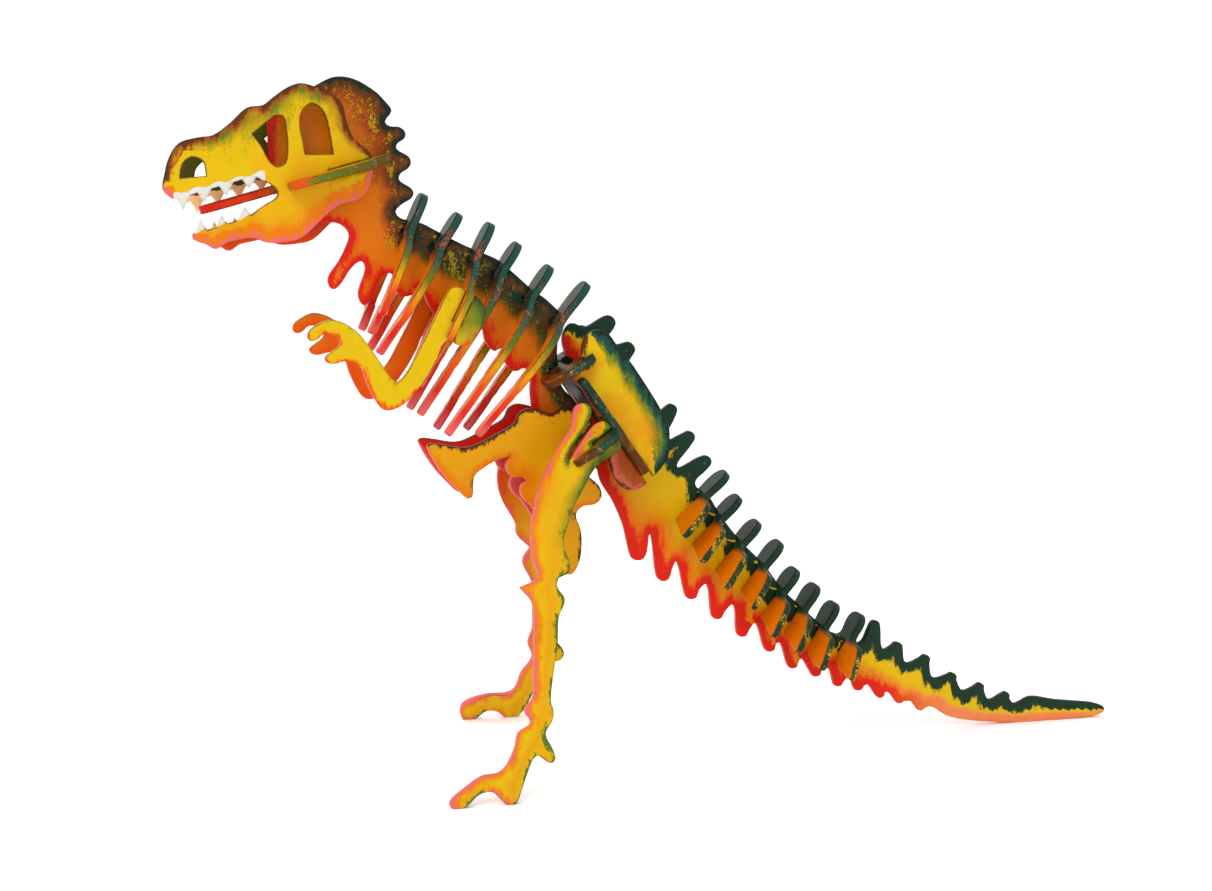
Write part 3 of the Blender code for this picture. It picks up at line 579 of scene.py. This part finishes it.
SKIN = {
    "skull": painted(
        "skull", [(0.0, ORANGE), (0.14, GOLD), (0.34, YELLOW), (0.8, YELLOW), (0.95, LEAF)],
        [(0.0, PINK), (0.45, RUST), (0.7, UMBER), (1.0, INK)],
        back=[(3.8, 0.8, RUST), (1.7, 0.5, UMBER)],
        belly=[(8.0, 2.0, ORANGE), (1.7, 0.4, PINK)], speckle=LEAF,
        speckle_band=(0.76, 1.0), wall_back=INK, wall_belly=PINK, drift=0.22, blush=GOLD,
        # inner side: flame at the jaw is paint; the rust and dark olive above are the skull's own paint painted in
        # shade inside the head, between the skull plates
        inner=[(0.0, FLAME), (0.24, RUST), (0.4, OLIVE), (1.0, OLIVE)], teeth=True),
    "tongue": painted(
        "tongue", [(0.0, RED), (0.5, FLAME), (0.66, GOLD), (1.0, LEAF)],
        [(0.0, RED), (0.38, FLAME), (0.55, LEAF), (1.0, UMBER)], speckle=GOLD),
    "body": painted(
        "body", [(0.0, ORANGE), (0.6, ORANGE), (0.78, RUST), (0.92, UMBER)],
        [(0.0, RED), (0.5, RUST), (1.0, INK)],
        zone_faces=[(0.0, FLAME), (0.3, ORANGE), (0.5, ORANGE), (0.66, OLIVE), (0.8, GREEN)],
        zone_walls=[(0.0, RED), (0.5, UMBER), (1.0, INK)],
        back=[(5.0, 2.4, UMBER), (2.2, 1.0, DARK_GREEN)],
        belly=[(4.8, 1.2, FLAME), (2.8, 1.2, RED)],
        speckle=YELLOW, speckle_band=(0.66, 1.0), speckle_amount=0.6, wall_back=INK,
        wall_belly=RED, drift=0.3),
    "tail": painted(
        "tail", [(0.0, ORANGE), (0.34, GOLD), (0.6, YELLOW), (1.0, YELLOW)],
        [(0.0, RED), (0.5, UMBER), (1.0, INK)],
        zone_faces=[(0.0, PEACH), (0.3, PEACH), (0.46, YELLOW), (1.0, YELLOW)],
        zone_walls=[(0.0, RED), (0.5, UMBER), (1.0, INK)],
        back=[(5.4, 3.9, GREEN)],
        belly=[(9.0, 3.0, ORANGE), (5.6, 2.4, FLAME), (3.9, 2.4, RED)],
        belly_fades=True, speckle=YELLOW, speckle_band=(0.8, 1.0), speckle_amount=0.3,
        wall_back=INK, wall_belly=FLAME, drift=0.24, blush=GOLD),
    "rib": painted(
        # the pale pink band near the rib ends is a painted highlight of the gloss; the pink at the very ends, the
        # orange and the green are the paint
        "rib", [(0.0, PINK), (0.22, PALE_PINK_HIGHLIGHT), (0.42, ORANGE), (0.6, ORANGE), (0.74, GREEN)],
        [(0.0, PINK), (0.14, RED), (0.3, FLAME), (0.42, GOLD), (0.54, LEAF), (0.68, TEAL)],
        speckle=FLAME, speckle_band=(0.66, 0.84), speckle_amount=0.6, drift=0.16, line=0.4),
    "vertebra": painted(
        "vertebra", [(0.0, ORANGE), (0.46, ORANGE), (0.54, GREEN), (0.7, DARK_GREEN)],
        [(0.0, GREEN), (1.0, GREEN)], speckle=YELLOW, speckle_band=(0.0, 0.56),
        speckle_amount=0.75, drift=0.08, line=0.3, face_speckle=False),
    "arm": painted(
        "arm", [(0.0, ORANGE), (0.2, YELLOW), (1.0, YELLOW)], [(0.0, PINK), (1.0, GOLD)],
        belly=[(1.6, 0.2, FLAME)], speckle=OLIVE, speckle_band=(0.9, 1.0),
        zone_faces=[(0.0, MOSS), (0.45, MOSS), (0.8, LEAF), (1.0, GREEN)],
        zone_walls=[(0.0, LEAF), (1.0, OLIVE)], wall_belly=PINK, drift=0.2, line=0.35,
        inner=[(0.0, FLAME), (1.0, ORANGE)]),
    "leg": painted(
        "leg", [(0.0, GOLD), (0.3, YELLOW), (0.6, GOLD), (1.0, YELLOW)],
        [(0.0, PINK), (1.0, OLIVE)], back=[(1.2, 0.3, LEAF)],
        belly=[(3.2, 0.4, ORANGE), (1.0, 0.2, PINK)], speckle=OLIVE, speckle_band=(0.95, 1.1),
        zone_faces=[(0.0, ORANGE), (0.3, GOLD), (0.6, YELLOW), (0.85, LEAF), (1.0, GREEN)],
        zone_walls=[(0.0, PINK), (1.0, GREEN)], wall_back=OLIVE, wall_belly=PINK, drift=0.24,
        line=0.4, blush=GOLD, inner=[(0.0, RED), (0.5, FLAME), (1.0, FLAME)],
        inner_by_zone=True),
    "pubis": painted(
        "pubis", [(0.0, ORANGE), (0.3, GOLD), (1.0, GOLD)],
        [(0.0, PINK), (1.0, RED)], back=[(1.3, 0.4, UMBER)], belly=[(2.6, 0.3, ORANGE)],
        speckle=LEAF, speckle_band=(0.9, 1.05), wall_back=UMBER, wall_belly=PINK, drift=0.2,
        inner=[(0.0, PINK), (0.3, RED), (1.0, RED)]),
    "ilium": painted(
        "ilium", [(0.0, GOLD), (0.3, YELLOW), (0.7, YELLOW), (0.95, LEAF)],
        [(0.0, UMBER), (1.0, GREEN)],
        back=[(8.5, 3.0, LEAF), (4.6, 2.4, TEAL), (2.0, 1.0, DARK_GREEN)],
        belly=[(1.8, 0.4, UMBER)],
        # below the shelf: pink rim and red paint, darkened to rust and umber towards the shelf as painted shade
        zone_faces=[(0.0, PINK), (0.2, RUST), (0.6, RUST), (1.0, UMBER)],
        zone_walls=[(0.0, PINK), (1.0, UMBER)], speckle=YELLOW, speckle_band=(0.5, 0.95),
        wall_back=GREEN, wall_belly=UMBER, drift=0.3, blush=ORANGE),
    "pelvis": painted(
        "pelvis", [(0.0, RUST), (0.35, UMBER), (0.6, OLIVE), (0.85, GREEN)],
        [(0.0, UMBER), (0.35, UMBER), (0.6, TEAL), (1.0, GREEN)], speckle=GOLD,
        speckle_band=(0.2, 0.8), speckle_amount=0.6, drift=0.3, line=0.8),
}


# ---------------------------------------------------------------- pieces

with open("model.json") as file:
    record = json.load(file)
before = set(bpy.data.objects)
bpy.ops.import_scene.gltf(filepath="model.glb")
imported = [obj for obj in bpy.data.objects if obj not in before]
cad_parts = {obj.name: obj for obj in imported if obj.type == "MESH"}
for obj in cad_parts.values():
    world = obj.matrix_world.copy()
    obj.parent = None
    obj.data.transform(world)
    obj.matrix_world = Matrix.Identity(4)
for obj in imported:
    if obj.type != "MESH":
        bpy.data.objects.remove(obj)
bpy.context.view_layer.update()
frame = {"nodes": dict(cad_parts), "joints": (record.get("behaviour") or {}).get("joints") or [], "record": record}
body_of_node = {n: b for b, names in frame["record"]["behaviour"]["bodies"].items() for n in names}
slot_of_node = {s["node"]: s["material_slot"] for s in frame["record"]["subparts"]}
pull = {j["child"]: j["axis"] for j in frame["joints"]}

# Where a plate changes paint scheme: a direction, and how far along it the second one
# begins and is complete, in mm.
HEAD_TO_BACK = ((1, 0, 0), -112.0, -100.0)
HIP_HEIGHT = ((0, 0, 1), 74.0, 122.0)
SHOULDER = ((1, 0, 0), -92.0, -84.0)
TAIL_END = ((1, 0, 0), 70.0, 125.0)
# Below the ilium's shelf: a pink rim and red paint, painted darker as rust and umber towards the shelf, which is
# painted shade under the shelf.
UNDER_SHELF_PAINT_AND_SHADE = ((-0.805, 0, -0.593), -55.0, -52.0)
# By kind of plate: which way its back is, how rise is measured, where it changes scheme, and
# how many times the facing of its outline is averaged.
PLANS = {
    "skull": (UP, "across", None, 12),
    "tongue": ((0.96, 0, 0.28), "along", None, 4),
    "body": (UP_LEAN, "across", HEAD_TO_BACK, 50),
    "tail": (UP_LEAN, "across", TAIL_END, 60),
    "arm": (UP_LEAN, "across", SHOULDER, 6),
    "leg": (REAR, "across", HIP_HEIGHT, 16),
    "pubis": (UP_LEAN, "across", None, 12),
    "ilium": ((0.8, 0, 0.6), "across", UNDER_SHELF_PAINT_AND_SHADE, 12),
    "pelvis": (UP_LEAN, "along", None, 4),
}

planes = [plate_plane(node) for node in frame["nodes"].values()]
skull_at = {n: lowest_corner(frame["nodes"][n]) for n in ("left_skull", "right_skull")}
for name, node in sorted(frame["nodes"].items()):
    kind = slot_of_node[name].replace("_paint", "")
    skull_shift = None
    if name in skull_at:
        skull_shift = skull_at[name] - skull_at["left_skull"]
        skull_shift.y = 0.0
    if kind in ("rib", "vertebra"):
        back_hint, mode, zone, passes = pull[name], "along", None, 4
    else:
        back_hint, mode, zone, passes = PLANS[kind]
    piece = finished_plate(f"painted_{name}", node, back_hint, mode, zone, passes,
                           skull_shift, planes)
    for material in SKIN[kind]:
        piece.data.materials.append(material)
    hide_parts(name)
    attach(piece, body_of_node[name])


# ---------------------------------------------------------------- studio

def studio_floor():
    mesh = bpy.data.meshes.new("floor")
    mesh.from_pydata([(-6, -6, 0), (6, -6, 0), (6, 6, 0), (-6, 6, 0)], [], [(0, 1, 2, 3)])
    floor = bpy.data.objects.new("floor", mesh)
    bpy.context.scene.collection.objects.link(floor)
    graph = Graph("floor_paper")
    tone = graph.ramp(graph.noise(3.0), [(0.0, PAPER), (1.0, PALE_PAPER)])
    graph.put(graph.shader.inputs["Base Color"], tone)
    graph.shader.inputs["Roughness"].default_value = 0.9
    floor.data.materials.append(graph.material)


def softbox(name, place, size, power, aim=(0.0, 0.0, 0.12)):
    lamp = bpy.data.lights.new(name, "AREA")
    lamp.shape = "DISK"
    lamp.size = size
    lamp.energy = power
    light = bpy.data.objects.new(name, lamp)
    light.location = place
    light.rotation_euler = (Vector(place) - Vector(aim)).to_track_quat("Z", "Y").to_euler()
    bpy.context.scene.collection.objects.link(light)


def studio_camera():
    """Left side of the animal, seen a little from the front and a little from above."""
    data = bpy.data.cameras.new("camera")
    data.lens = 59.4
    data.sensor_width = 36.0
    camera = bpy.data.objects.new("camera", data)
    bpy.context.scene.collection.objects.link(camera)
    camera.location = (-0.244, -0.7288, 0.218)
    azimuth, elevation, roll = math.radians(-16.56), math.radians(7.33), math.radians(0.79)
    level = Euler((math.pi / 2 - elevation, 0.0, azimuth)).to_matrix()
    camera.rotation_euler = (level @ Euler((0.0, 0.0, roll)).to_matrix()).to_euler()
    bpy.context.scene.camera = camera


studio_floor()
softbox("key", (-0.8, -1.0, 1.25), 0.7, 9.0)
softbox("fill", (1.0, -1.1, 0.7), 1.2, 2.0)
softbox("rim", (-0.6, 1.0, 1.1), 0.8, 5.0)
world = bpy.data.worlds.new("studio")
world.use_nodes = True
world.node_tree.nodes["Background"].inputs[0].default_value = (1.0, 1.0, 1.0, 1.0)
world.node_tree.nodes["Background"].inputs[1].default_value = 1.1
bpy.context.scene.world = world
studio_camera()
bpy.context.scene.view_settings.view_transform = "Standard"
